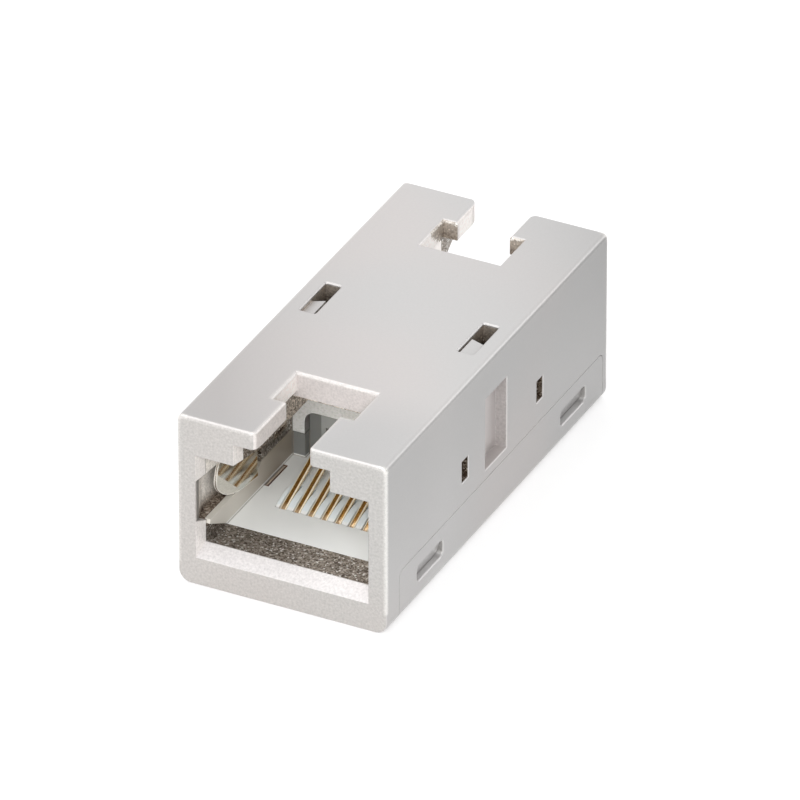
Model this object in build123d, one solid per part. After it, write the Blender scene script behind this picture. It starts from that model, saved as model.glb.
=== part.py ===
from build123d import *
import math
import os

# Inline coupler for two eight-contact modular plugs: a die-cast upper housing, a snap-on bottom
# cover, a moulded contact carrier and eight spring contacts for each port, four ground springs
# and one small circuit board that joins the two rows of contacts.
# X runs across the plugs, Y along them with the front port at -Y, and Z up. Millimetres.

# Overall body
side_wall = 1.73           # plug cavity to the outside of the body
top_wall = 1.4             # latch channel to the top of the body
front_collar = 4.6         # front face to the catch plane, where the plug's latch springs up
rear_collar = 3.35         # the rear collar is shorter than the front one
plug_reach = 8.8           # catch plane to the stop wall that the plug's nose meets
stop_wall = 0.9
core_length = 6.0          # chamber between the two stop walls
top_edge_radius = 0.4
bottom_edge_radius = 0.9
rim_radius = 0.2

# Plug cavity
cavity_width = 11.94
cavity_floor = 2.8
cavity_height = 6.82
mouth_flare = 0.27         # widening of the cavity where the collar's taper starts, each side
lip_flare = 0.13           # further widening over the lip, each side
lip_depth = 1.16
sill_drop = 0.65
lintel_rise = 0.45

# Latch channel above the plug, and the window that catches the latch
channel_width = 6.4
channel_height = 1.93      # above the plug cavity
channel_step = 0.5         # the channel is this much lower behind the window
channel_flare = 0.23
window_width = 5.95
window_length = 3.55
key_slot_width = 3.94
front_tongue_radius = 0.42
rear_tongue_radius = 0.9
window_bevel = 0.15

# Bottom cover
cover_plate = 1.0
cover_flange = 0.6
cover_top = 3.9
cover_front_margin = 1.9
cover_rear_margin = 0.75
cover_corner_radius = 0.5
cover_gap = 0.04
board_rib_width = 0.7

# Snap windows of the cover and the lugs of the housing that fill them
snap_length = 3.86
snap_height = 1.2
snap_bottom = 1.6
snap_from_catch = 1.88     # catch plane to the middle of the window
snap_lug_top_inset = 0.2   # the lug's face lies this far inside the outer face at its top
snap_lug_low_inset = 0.5   # and this far at its foot
snap_lug_root = 0.1        # how far the lug's root reaches into the housing's wall
snap_corner_radius = 0.35
snap_rim_bevel = 0.08

# Side features of the housing
vent_width = 0.97
vent_height = 1.67
vent_bottom = 5.55
vent_from_catch = 7.06     # catch plane to the middle of the small side hole
vent_rim_bevel = 0.06
recess_length = 3.23
recess_height = 5.53
recess_bottom = 4.62
recess_depth = 0.86
recess_rim_bevel = 0.06
recess_from_middle = 1.0   # the recess sits this far in front of the middle of the core

# Slots in the top, with the catch wedge that fills the near half of each
top_slot_width = 1.15
top_slot_length = 3.9
top_slot_corner = 0.12
top_slot_rim_bevel = 0.1
wedge_width = 1.0
wedge_length = 1.9
wedge_inner_drop = 0.12
wedge_outer_drop = 0.4

# Roof over the core chamber
core_roof = 1.6

# Pocket for each ground spring
pocket_rise = 1.65         # above the cavity's floor
pocket_height = 3.6
pocket_depth = 1.1
pocket_end = 4.1           # catch plane to the end of the pocket
pocket_lead = 0.7          # the pocket is at full depth this far before the spring's tip
pocket_sill = 0.5          # the pocket's floor rises this much to the mouth's face

# Contact carrier
carrier_gap = 0.05
floor_lead = 0.81          # the carrier's floor starts this far in front of the catch plane
carrier_floor = 0.8
cheek_wall = 0.41
cheek_front_height = 1.68
cheek_rear_height = 2.1
cheek_step = 3.65          # catch plane to the step in the top of the cheek
cheek_step_length = 0.6
cheek_nose_gap = 0.1       # the slanted nose of the cheek stops this far behind the lip
cheek_nose_chamfer = 0.1
cheek_nose_drop = 0.3      # height of the chamfer at the top of the nose
shoulder_height = 1.82
comb_end_wall = 0.986      # outside the last contact's place
comb_height = 3.62
comb_radius = 0.8
comb_depth = 1.5           # stop wall's face to the back of the comb
comb_recess = 0.65         # the comb's face lies this far behind the stop wall's
comb_back_wall = 0.3
comb_slot_top = 2.3        # top of the comb slots above the cavity's floor
rib_field_margin = 0.036
rib_field_drop = 0.08      # the ribs between the contacts start this far below the floor
rib_rise = 0.4             # and level off this far above it
rib_run = 2.0              # length of the arc in between
key_groove_length = 2.85
key_groove_width = 0.34
key_groove_depth = 0.7
key_groove_from_catch = 4.5
key_tab_width = 0.14

# Contacts
contact_count = 8
contact_pitch = 1.016
contact_width = 0.46
contact_thickness = 0.3
contact_groove_width = 0.56
contact_groove_length = 2.6
contact_slot_length = 1.1  # the groove is open to the board this far, for the hairpin
contact_web = 0.2          # wall between the foot of the contact and the groove above it
contact_front = 2.42       # catch plane to the front of the hairpin bend
contact_slope = 20.5
contact_bend = 0.26        # radius of the middle line of the hairpin
contact_foot = 3.2
contact_lead = 0.6         # the spring levels off this far in front of the stop wall
contact_tail = 1.6
contact_knee_radius = 0.6

# Circuit board
board_thickness = 0.6
board_side_gap = 0.33
board_inset = 1.6          # catch plane to the edge of the board

# Ground springs: the leaf bows into the plug's way, and its tip folds back into the pocket
spring_thickness = 0.2
spring_front = 1.7         # front edge of the leaf in front of the catch plane
spring_gap = 0.15          # above and below the leaf, in its pocket
spring_tip_radius = 2.1
spring_top_radius = 1.1
spring_bow = 0.35          # how far the apex stands out of the cavity's side wall
spring_apex = 2.9
spring_heel_slope = 0.85
spring_lead_slope = 0.12   # slopes of the long facet, along the plug and upwards
spring_lift_slope = 0.1
spring_tip_slope = 0.37    # slopes of the tip facet
spring_tip_lift = 0.15
spring_crease = 0.95       # the crease meets mid height this far in front of the catch plane

# Cutting blocks run this far past the surfaces that they open
overshoot = 1.0

# Places worked out from the sizes above
length = front_collar + rear_collar + 2 * (plug_reach + stop_wall) + core_length
front_face = -length / 2
rear_face = length / 2
front_catch = front_face + front_collar
rear_catch = rear_face - rear_collar
core_middle = (front_catch + rear_catch) / 2
cavity_top = cavity_floor + cavity_height
channel_top = cavity_top + channel_height
channel_top_inner = channel_top - channel_step
half_cavity = cavity_width / 2
body_width = cavity_width + 2 * side_wall
body_height = channel_top + top_wall
board_top = cavity_floor - carrier_floor
board_bottom = board_top - board_thickness
inner_half = half_cavity + cheek_wall + carrier_gap
board_half = inner_half - board_side_gap
flange_inner = body_width / 2 - cover_flange
pocket_floor = cavity_floor + pocket_rise
contact_row_half = contact_count * contact_pitch / 2
contact_end = plug_reach - contact_lead
comb_half = contact_row_half + comb_end_wall
comb_face = plug_reach + comb_recess


def block(x_low, x_high, y_low, y_high, z_low, z_high):
    """A box between two corners."""
    middle = ((x_low + x_high) / 2, (y_low + y_high) / 2, (z_low + z_high) / 2)
    return Pos(*middle) * Box(x_high - x_low, y_high - y_low, z_high - z_low)


def across(points, x_low, x_high):
    """A prism of a side outline, given as (y, z) points, from x_low to x_high."""
    face = make_face(Polyline(*[(x_low, y, z) for y, z in points], close=True))
    return extrude(face, x_high - x_low, dir=(1, 0, 0))


def along(points, y_low, y_high):
    """A prism of a front outline, given as (x, z) points, from y_low to y_high."""
    face = make_face(Polyline(*[(x, y_low, z) for x, z in points], close=True))
    return extrude(face, y_high - y_low, dir=(0, 1, 0))


def both_sides(solid):
    """The solid and its mirror image on the other side of the body."""
    return solid + mirror(solid, Plane.YZ)


def opening(outline, depth, bevel):
    """A cut into the surface that an outline lies on: straight walls under a bevelled rim."""
    face = outline.face()
    inward = face.normal_at() * -1
    mouth = offset(face, bevel, kind=Kind.INTERSECTION).face()
    rim = loft([Pos(inward * bevel) * face, mouth], ruled=True)
    return rim + extrude(face, depth, dir=inward) + extrude(face, overshoot, dir=inward * -1)


def at_front(solid):
    """Place a port feature, drawn with its catch plane at y = 0, in the front port."""
    return Pos(0, front_catch, 0) * solid


def at_rear(solid):
    """Place the same feature in the rear port, which faces the other way."""
    return Pos(0, rear_catch, 0) * Rot(0, 0, 180) * solid


def body_envelope():
    """The whole outside of the coupler, with its rounded long edges and end rims."""
    solid = block(-body_width / 2, body_width / 2, front_face, rear_face, 0, body_height)
    long_edges = solid.edges().filter_by(Axis.Y)
    solid = fillet(long_edges.group_by(Axis.Z)[-1], top_edge_radius)
    bottom = solid.edges().filter_by(Axis.Y).group_by(Axis.Z)[0]
    solid = fillet(bottom, bottom_edge_radius)
    rims = solid.faces().sort_by(Axis.Y)[0].edges() + solid.faces().sort_by(Axis.Y)[-1].edges()
    return fillet(rims, rim_radius)


def cover_zone(gap):
    """The room that the bottom cover takes: a plate with an upright flange on each side."""
    y_low = front_face + cover_front_margin - gap
    y_high = rear_face - cover_rear_margin + gap
    top = cover_top + gap
    wide = body_width / 2 + overshoot
    side = block(-wide, wide, y_low, y_high, -overshoot, top)
    corners = side.edges().filter_by(Axis.X).group_by(Axis.Z)[-1]
    side = fillet(corners, cover_corner_radius + gap)
    inner = flange_inner - gap
    return side - block(-inner, inner, y_low, y_high, cover_plate + gap, top)


def mouth_outline(spread, channel_spread, sill, lintel, channel_roof, y):
    """The outline of the port at depth y: the plug's body and the latch channel above it."""
    half = half_cavity + spread
    key = channel_width / 2 + channel_spread
    points = [(-half, sill), (half, sill), (half, lintel), (key, lintel),
              (key, channel_roof), (-key, channel_roof), (-key, lintel), (-half, lintel)]
    return make_face(Polyline(*[(x, y, z) for x, z in points], close=True))


def plug_cavity(collar):
    """The room for a plug, with its lead-in lip, its taper and its latch channel."""
    face = -collar
    lip = face + lip_depth
    throat = -floor_lead
    outer = mouth_outline(mouth_flare + lip_flare, channel_flare + lip_flare,
                          cavity_floor - sill_drop, cavity_top + lintel_rise,
                          channel_top + lip_flare, face)
    middle = mouth_outline(mouth_flare, channel_flare, cavity_floor,
                           cavity_top + lintel_rise - lip_flare, channel_top, lip)
    inner = mouth_outline(0, 0, cavity_floor, cavity_top, channel_top, throat)
    cavity = loft([outer, middle], ruled=True) + loft([middle, inner], ruled=True)
    cavity += block(-half_cavity, half_cavity, throat, plug_reach, cavity_floor, cavity_top)
    key = channel_width / 2
    cavity += block(-key, key, throat, window_length, cavity_top, channel_top)
    cavity += block(-key, key, window_length, plug_reach, cavity_top, channel_top_inner)
    return cavity


def latch_window(collar):
    """The T-shaped opening in the top: a key slot from the end face and the catch window."""
    half_slot = key_slot_width / 2
    half_window = window_width / 2
    roof = body_height + overshoot
    slot = block(-half_slot, half_slot, -collar - overshoot, 0, channel_top_inner, roof)
    window = block(-half_window, half_window, 0, window_length, channel_top_inner, roof)
    return slot + window


def tongue_rounding(collar, radius):
    """What is cut off the two tongues where the key slot runs out through the end face."""
    corner = block(0, radius, 0, radius, channel_top_inner, body_height + overshoot)
    corner -= Pos(radius, radius, body_height / 2) * Cylinder(radius, 2 * body_height)
    return both_sides(Pos(key_slot_width / 2, -collar, 0) * corner)


def window_bevels(collar):
    """A small bevel along the top edges of the T-shaped opening."""
    half_slot = key_slot_width / 2
    half_window = window_width / 2
    faces = []
    for grow, z in ((window_bevel, body_height), (0, body_height - window_bevel)):
        points = [(-half_slot - grow, -collar - overshoot), (half_slot + grow, -collar - overshoot),
                  (half_slot + grow, -grow), (half_window + grow, -grow),
                  (half_window + grow, window_length + grow),
                  (-half_window - grow, window_length + grow),
                  (-half_window - grow, -grow), (-half_slot - grow, -grow)]
        faces.append(make_face(Polyline(*[(x, y, z) for x, y in points], close=True)))
    return loft(faces, ruled=True)


def spring_pocket(collar):
    """The pocket in each side wall for a ground spring, open through the mouth's lip."""
    face = -collar
    lip = face + lip_depth
    edge = half_cavity + mouth_flare + lip_flare
    deep = half_cavity + pocket_depth
    top = pocket_floor + pocket_height
    deep_from = -spring_front - pocket_lead
    inside = half_cavity - overshoot
    plan = [(inside, face - overshoot), (edge, face - overshoot), (edge, face), (deep, deep_from),
            (deep, pocket_end), (inside, pocket_end)]
    sill = pocket_floor + pocket_sill
    side = [(face - overshoot, sill), (face, sill), (lip, pocket_floor),
            (pocket_end, pocket_floor), (pocket_end, top), (face - overshoot, top)]
    outline = make_face(Polyline(*[(x, y, 0) for x, y in plan], close=True))
    solid = extrude(outline, body_height, dir=(0, 0, 1)) & across(side, 0, body_width)
    return both_sides(solid)


def carrier_side(collar, gap, half):
    """The carrier's outline from the side, cheeks included, as a prism grown by a gap."""
    front = -floor_lead - gap
    nose = lip_depth + cheek_nose_gap - collar - gap
    bottom = board_top - gap
    front_top = cavity_floor + cheek_front_height + gap
    rear_top = cavity_floor + cheek_rear_height + gap
    shoulder = cavity_floor + shoulder_height + gap
    back = plug_reach + comb_depth + gap
    nose_low = cavity_floor + cheek_front_height - cheek_nose_drop
    outline = [(front, bottom), (front, cavity_floor), (nose, nose_low),
               (nose + cheek_nose_chamfer, front_top), (cheek_step, front_top),
               (cheek_step + cheek_step_length, rear_top),
               (plug_reach, rear_top), (plug_reach, shoulder), (back, shoulder), (back, bottom)]
    return across(outline, -half, half)


def comb_block(gap):
    """The block behind the stop wall that holds the comb, with two rounded upper corners."""
    half = comb_half + gap
    top = cavity_floor + comb_height + gap
    low = board_top - gap
    solid = block(-half, half, plug_reach, plug_reach + comb_depth + gap, low, top)
    corners = solid.edges().filter_by(Axis.Y).group_by(Axis.Z)[-1]
    return fillet(corners, comb_radius + gap)


def snap_outline(gap):
    """The outline of a snap window on the +X face of the body, shrunk by a gap."""
    place = Plane((body_width / 2, snap_from_catch, snap_bottom + snap_height / 2),
                  x_dir=(0, 1, 0), z_dir=(1, 0, 0))
    return place * RectangleRounded(snap_length - 2 * gap, snap_height - 2 * gap,
                                    snap_corner_radius - gap)


def snap_window():
    """What a snap window takes out of the cover on both sides."""
    return both_sides(opening(snap_outline(0), cover_flange + overshoot, snap_rim_bevel))


def snap_lug():
    """The wedge of the housing in a snap window: the cover slides up over its sloping face."""
    outer = body_width / 2
    root = flange_inner - cover_gap - snap_lug_root
    high = snap_bottom + snap_height
    half = snap_length / 2
    wedge = along([(root, snap_bottom), (outer - snap_lug_low_inset, snap_bottom),
                   (outer - snap_lug_top_inset, high), (root, high)],
                  snap_from_catch - half, snap_from_catch + half)
    return both_sides(wedge & extrude(snap_outline(cover_gap), outer - root, dir=(-1, 0, 0)))


def port_room(collar, tongue_radius):
    """Everything that one port takes out of the housing."""
    room = plug_cavity(collar) + latch_window(collar) + tongue_rounding(collar, tongue_radius)
    room += window_bevels(collar) + spring_pocket(collar)
    room += carrier_side(collar, carrier_gap, inner_half) + comb_block(carrier_gap)
    place = Plane((body_width / 2, vent_from_catch, vent_bottom + vent_height / 2),
                  x_dir=(0, 1, 0), z_dir=(1, 0, 0))
    vent = opening(place * Rectangle(vent_width, vent_height), side_wall + overshoot, vent_rim_bevel)
    return room + both_sides(vent)


def side_recess():
    """The tall recess in each side."""
    place = Plane((body_width / 2, core_middle - recess_from_middle, recess_bottom + recess_height / 2),
                  x_dir=(0, 1, 0), z_dir=(1, 0, 0))
    return both_sides(opening(place * Rectangle(recess_length, recess_height), recess_depth,
                              recess_rim_bevel))


def top_slots():
    """The two slots in the top, over the outer edges of the core chamber."""
    place = Plane((inner_half - top_slot_width / 2, core_middle, body_height))
    outline = place * RectangleRounded(top_slot_width, top_slot_length, top_slot_corner)
    return both_sides(opening(outline, core_roof + overshoot, top_slot_rim_bevel))


def slot_wedges():
    """The sloping catch that fills the outer part of the near half of each top slot."""
    inner = inner_half - wedge_width
    low = body_height - core_roof
    front = core_middle - top_slot_length / 2
    outline = [(inner, low), (inner_half, low), (inner_half, body_height - wedge_outer_drop),
               (inner, body_height - wedge_inner_drop)]
    return both_sides(along(outline, front, front + wedge_length))


def upper_housing(envelope):
    """The die-cast housing: top, sides, both collars, stop walls and snap lugs."""
    roof = body_height - core_roof
    solid = envelope - cover_zone(cover_gap)
    solid -= at_front(port_room(front_collar, front_tongue_radius))
    solid -= at_rear(port_room(rear_collar, rear_tongue_radius))
    front = front_catch - floor_lead - carrier_gap
    rear = rear_catch + floor_lead + carrier_gap
    solid -= block(-inner_half, inner_half, front, rear, -overshoot, board_top)
    half_core = core_length / 2
    solid -= block(-inner_half, inner_half, core_middle - half_core, core_middle + half_core,
                   board_top - overshoot, roof)
    solid = solid - side_recess() - top_slots()
    return solid + slot_wedges() + at_front(snap_lug()) + at_rear(snap_lug())


def bottom_cover(envelope):
    """The snap-on cover: a plate, two flanges with snap windows, and two ribs for the board."""
    solid = envelope & cover_zone(0)
    solid = solid - at_front(snap_window()) - at_rear(snap_window())
    rib = block(board_half - board_rib_width, board_half, front_catch + board_inset,
                rear_catch - board_inset, cover_plate, board_bottom)
    return solid + both_sides(rib)


def contact_places():
    """The middle lines of the contacts, from left to right."""
    return [(index - (contact_count - 1) / 2) * contact_pitch for index in range(contact_count)]


def rib_field():
    """The raised field that the contact grooves are cut in: it leaves the floor in an arc."""
    half = contact_row_half + rib_field_margin
    low = cavity_floor - rib_field_drop
    high = cavity_floor + rib_rise
    start = (-half, contact_front, low)
    crest = (-half, contact_front + rib_run, high)
    rise = TangentArc(crest, start, tangent=(0, -1, 0))
    rest = Polyline(crest, (-half, comb_face, high), (-half, comb_face, low), start)
    return extrude(make_face([rise.edge(), *rest.edges()]), 2 * half, dir=(1, 0, 0))


def contact_groove(x):
    """The room of one contact: a groove where it rises, slots for its hairpin, foot and tail."""
    half = contact_groove_width / 2
    front = contact_front - carrier_gap
    foot_top = board_top + contact_thickness + carrier_gap
    foot_back = contact_front + contact_thickness / 2 + contact_bend + contact_foot + carrier_gap
    below = board_top - overshoot
    field_top = cavity_floor + rib_rise
    groove = block(x - half, x + half, front, front + contact_groove_length,
                   foot_top + contact_web, field_top)
    hairpin = block(x - half, x + half, front, front + contact_slot_length, below, field_top)
    foot = block(x - half, x + half, front, foot_back, below, foot_top)
    tail = block(x - half, x + half, plug_reach, plug_reach + comb_depth - comb_back_wall,
                 field_top, cavity_floor + comb_slot_top)
    return groove + hairpin + foot + tail


def key_groove():
    """The groove beside the cheek, with the thin tab that stands in it."""
    low = cavity_floor - key_groove_depth
    back = key_groove_from_catch + key_groove_length
    groove = block(half_cavity - key_groove_width, half_cavity, key_groove_from_catch, back,
                   low, cavity_floor)
    gap = (key_groove_width - key_tab_width) / 2
    tab = block(half_cavity - gap - key_tab_width, half_cavity - gap, key_groove_from_catch + gap,
                back - gap, low, cavity_floor)
    return both_sides(groove - tab)


def contact_carrier(collar):
    """The moulded carrier: floor, cheeks, comb block and a groove for each contact."""
    half = inner_half - carrier_gap
    solid = carrier_side(collar, 0, half) + comb_block(0)
    high = cavity_floor + cheek_rear_height + overshoot
    solid -= block(-half_cavity, half_cavity, -collar, plug_reach, cavity_floor, high)
    solid -= block(-comb_half, comb_half, plug_reach, comb_face, cavity_floor,
                   cavity_floor + comb_height + overshoot)
    field = contact_row_half + rib_field_margin
    solid -= block(-field, field, contact_front, comb_face, cavity_floor - rib_field_drop, cavity_floor)
    solid += rib_field()
    for x in contact_places():
        solid -= contact_groove(x)
    return solid - key_groove()


def contact(x):
    """One spring contact: a foot on the board, a hairpin bend and the long rising spring."""
    slope = math.radians(contact_slope)
    half = contact_thickness / 2
    foot_height = board_top + half
    bend_y = contact_front + half + contact_bend
    bend_z = foot_height + contact_bend
    rise_start = (bend_y - contact_bend * math.sin(slope), bend_z + contact_bend * math.cos(slope))
    knee_z = rise_start[1] + (contact_end - rise_start[0]) * math.tan(slope)
    knee_reach = contact_knee_radius * math.tan(slope / 2)
    rise_end = (contact_end - knee_reach * math.cos(slope), knee_z - knee_reach * math.sin(slope))
    foot = Line((x, bend_y + contact_foot, foot_height), (x, bend_y, foot_height))
    hairpin = ThreePointArc((x, bend_y, foot_height), (x, bend_y - contact_bend, bend_z),
                            (x, *rise_start))
    spring = Line((x, *rise_start), (x, *rise_end))
    knee = TangentArc((x, *rise_end), (x, contact_end + knee_reach, knee_z),
                      tangent=(0, math.cos(slope), math.sin(slope)))
    tail = Line((x, contact_end + knee_reach, knee_z), (x, contact_end + contact_tail, knee_z))
    path = Wire([foot.edge(), hairpin.edge(), spring.edge(), knee.edge(), tail.edge()])
    start = Plane((x, bend_y + contact_foot, foot_height), x_dir=(1, 0, 0), z_dir=(0, -1, 0))
    return sweep(start * Rectangle(contact_width, contact_thickness), path=path)


def circuit_board():
    """The board that joins the two rows of contacts."""
    return block(-board_half, board_half, front_catch + board_inset, rear_catch - board_inset,
                 board_bottom, board_top)


def ground_spring():
    """The bowed leaf at the +X side of a port: tip facet, long facet and heel facet."""
    middle = pocket_floor + pocket_height / 2
    low = pocket_floor + spring_gap
    high = pocket_floor + pocket_height - spring_gap
    back = pocket_end - carrier_gap
    crease_out = spring_bow - spring_lead_slope * (spring_apex + spring_crease)
    wall = half_cavity
    reach = 2 * overshoot

    def facet(y, out, slope, lift):
        """A plane whose distance from the side wall changes along the plug and upwards."""
        normal = Vector(-1, -slope, -lift)
        return Plane((wall - out, y, middle), z_dir=normal)

    def bowed(inset):
        """All that lies on the wall's side of the three facets, moved towards the wall."""
        solid = block(wall - reach, wall + reach, -spring_front - overshoot, back + overshoot,
                      low - overshoot, high + overshoot)
        planes = [facet(-spring_crease, crease_out - inset, spring_tip_slope, spring_tip_lift),
                  facet(-spring_crease, crease_out - inset, spring_lead_slope, -spring_lift_slope),
                  facet(spring_apex, spring_bow - inset, -spring_heel_slope, 0)]
        for plane in planes:
            solid = split(solid, plane, keep=Keep.BOTTOM)
        return solid

    leaf = block(wall - reach, wall + reach, -spring_front, back, low, high)
    front = leaf.edges().filter_by(Axis.X).group_by(Axis.Y)[0]
    leaf = fillet(front.sort_by(Axis.Z)[0], spring_tip_radius)
    front = leaf.edges().filter_by(Axis.X).group_by(Axis.Y)[0]
    leaf = fillet(front.sort_by(Axis.Z)[-1], spring_top_radius)
    return (bowed(0) - bowed(spring_thickness)) & leaf


def build_parts():
    """Every piece of the coupler by name."""
    envelope = body_envelope()
    parts = {"upper_housing": upper_housing(envelope), "bottom_cover": bottom_cover(envelope),
             "circuit_board": circuit_board()}
    left_to_right = contact_places()
    spring = ground_spring()
    for end, place, collar in (("front", at_front, front_collar), ("rear", at_rear, rear_collar)):
        parts[f"{end}_contact_carrier"] = place(contact_carrier(collar))
        for number, x in enumerate(left_to_right, start=1):
            parts[f"{end}_contact_{number}"] = place(contact(x))
        parts[f"{end}_ground_spring_left"] = place(mirror(spring, Plane.YZ))
        parts[f"{end}_ground_spring_right"] = place(spring)
    return parts


os.makedirs("parts", exist_ok=True)
for name, solid in build_parts().items():
    export_step(solid, f"parts/{name}.step")
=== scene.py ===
"""Dress the inline plug coupler: cast shell, moulded carriers, sprung contacts, in a white studio."""

import logging
import math
from dataclasses import dataclass, field
from enum import Enum
from functools import partial, reduce
from typing import Any

import bpy
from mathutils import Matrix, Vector


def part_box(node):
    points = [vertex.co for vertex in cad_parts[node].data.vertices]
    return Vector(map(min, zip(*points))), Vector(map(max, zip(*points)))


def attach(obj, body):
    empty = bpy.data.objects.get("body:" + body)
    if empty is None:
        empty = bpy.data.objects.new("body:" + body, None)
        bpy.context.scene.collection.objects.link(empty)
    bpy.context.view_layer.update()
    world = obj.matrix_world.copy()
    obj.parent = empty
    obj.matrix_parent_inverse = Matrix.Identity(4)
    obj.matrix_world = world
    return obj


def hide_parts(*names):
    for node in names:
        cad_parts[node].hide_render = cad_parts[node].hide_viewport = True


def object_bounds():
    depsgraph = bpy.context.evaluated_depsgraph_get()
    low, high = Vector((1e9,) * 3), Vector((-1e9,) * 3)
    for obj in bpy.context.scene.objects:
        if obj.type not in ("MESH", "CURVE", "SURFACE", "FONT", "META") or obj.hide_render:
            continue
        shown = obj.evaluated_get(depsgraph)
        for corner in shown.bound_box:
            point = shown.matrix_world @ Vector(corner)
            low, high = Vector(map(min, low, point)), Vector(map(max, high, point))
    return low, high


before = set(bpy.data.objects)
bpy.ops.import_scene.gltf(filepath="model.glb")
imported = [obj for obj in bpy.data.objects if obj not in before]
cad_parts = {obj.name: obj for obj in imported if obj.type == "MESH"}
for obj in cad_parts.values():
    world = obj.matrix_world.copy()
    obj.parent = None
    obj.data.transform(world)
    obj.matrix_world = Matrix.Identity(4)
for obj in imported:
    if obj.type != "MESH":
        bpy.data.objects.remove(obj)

MM = 0.001
BODY = "root"
Colour = tuple[float, float, float]
Span = tuple[float, float]
Socket = bpy.types.NodeSocket
WHITE = (1.0, 1.0, 1.0)
ORIGIN = (0.0, 0.0, 0.0)
CORE_TO_CATCH = 12.7 * MM
cad_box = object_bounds()
log = logging.getLogger("coupler")


class Port(Enum):
    """The two ends that a plug goes into. The value is the way in, along Y."""

    FRONT = 1
    REAR = -1

    @property
    def label(self) -> str:
        """The end's name, as the nodes spell it."""
        return self.name.lower()


class Graph:
    """A node tree with short calls to add nodes, set their sockets and link them."""

    def __init__(self, tree: bpy.types.NodeTree) -> None:
        """Start from an empty tree."""
        self.tree = tree
        tree.nodes.clear()

    def node(self, kind: str, sockets: dict[Any, Any] | None = None, **settings: Any) -> bpy.types.Node:
        """Add one node.

        Args:
            kind: Blender's name of the node type.
            sockets: A value or another node's socket for each input, by name or number.
            settings: The node's own properties, such as its operation.

        Returns:
            The new node.
        """
        node = self.tree.nodes.new(kind)
        for name, value in settings.items():
            setattr(node, name, value)
        for name, value in (sockets or {}).items():
            self.feed(node.inputs[name], value)
        return node

    def feed(self, socket: Socket, value: Any) -> None:
        """Link a socket to another one, or set its own value.

        Args:
            socket: The input to fill.
            value: Another node's socket, or a plain value.
        """
        if isinstance(value, Socket):
            self.tree.links.new(value, socket)
        else:
            socket.default_value = value

    def math(self, operation: str, *values: Any, clamp: bool = False) -> Socket:
        """One step of arithmetic.

        Args:
            operation: Blender's name of the operation.
            values: Its operands, numbers or sockets.
            clamp: Keep the result between 0 and 1.

        Returns:
            The socket with the result.
        """
        sockets = dict(enumerate(values))
        return self.node("ShaderNodeMath", sockets, operation=operation, use_clamp=clamp).outputs[0]

    def ramp(self, value: Any, low: float, high: float, start: float = 0.0, end: float = 1.0) -> Socket:
        """A smooth step from start to end while value goes from low to high.

        Args:
            value: The number or socket to follow.
            low: Where the step starts.
            high: Where it ends.
            start: The result before it.
            end: The result after it.

        Returns:
            The socket with the result.
        """
        sockets = {"Value": value, "From Min": low, "From Max": high, "To Min": start, "To Max": end}
        return self.node("ShaderNodeMapRange", sockets, interpolation_type="SMOOTHSTEP").outputs[0]

    def blend(self, share: Any, first: Any, second: Any, mode: str = "MIX") -> Socket:
        """Mix two colours.

        Args:
            share: How much of the second colour, as a number or socket.
            first: The first colour or socket.
            second: The second colour or socket.
            mode: Blender's name of the way to mix.

        Returns:
            The socket with the mixed colour.
        """
        mix = self.node("ShaderNodeMix", data_type="RGBA", blend_type=mode)
        self.feed(mix.inputs[0], share)
        for socket, value in ((mix.inputs[6], first), (mix.inputs[7], second)):
            self.feed(socket, (*value, 1.0) if isinstance(value, tuple) else value)
        return mix.outputs[2]

    def lerp(self, share: Any, first: Any, second: Any) -> Socket:
        """A number between two others: the first at share 0, the second at share 1."""
        sockets = {"Value": share, "To Min": first, "To Max": second}
        return self.node("ShaderNodeMapRange", sockets, clamp=True).outputs[0]

    def both(self, *masks: Any) -> Socket:
        """The product of all, which is 1 where every mask holds."""
        return reduce(partial(self.math, "MULTIPLY"), masks)

    def either(self, *masks: Any) -> Socket:
        """The largest of all, which is 1 where any mask holds."""
        return reduce(partial(self.math, "MAXIMUM"), masks)

    def parts(self, vector: Any) -> bpy.types.NodeOutputs:
        """The X, Y and Z of a vector, each as a socket."""
        return self.node("ShaderNodeSeparateXYZ", {0: vector}).outputs

    def group(self, tree: bpy.types.NodeTree, sockets: dict[str, Any]) -> bpy.types.Node:
        """Put a shared group in the tree."""
        return self.node("ShaderNodeGroup", sockets, node_tree=tree)

    def grey(self, value: Any) -> Socket:
        """A grey whose three parts all follow one value."""
        return self.node("ShaderNodeCombineColor", {0: value, 1: value, 2: value}).outputs[0]

    def noise(self, vector: Any, size: float, detail: float = 2.0) -> Socket:
        """Smooth noise whose spots are about the given size.

        Args:
            vector: The coordinates it is drawn on.
            size: The size of a spot, in metres.
            detail: The number of finer layers.

        Returns:
            The socket with the noise, from 0 to 1.
        """
        sockets = {"Vector": vector, "Scale": 1.0 / size, "Detail": detail}
        return self.node("ShaderNodeTexNoise", sockets).outputs[0]

    def bump(self, height: Any, strength: float, depth: float, normal: Any) -> Socket:
        """A normal that follows a height.

        Args:
            height: The socket with the height, from 0 to 1.
            strength: How much of the bump shows.
            depth: The height's full depth, in metres.
            normal: The normal before it.

        Returns:
            The socket with the normal.
        """
        sockets = {"Strength": strength, "Distance": depth, "Height": height, "Normal": normal}
        return self.node("ShaderNodeBump", sockets).outputs[0]


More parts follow.
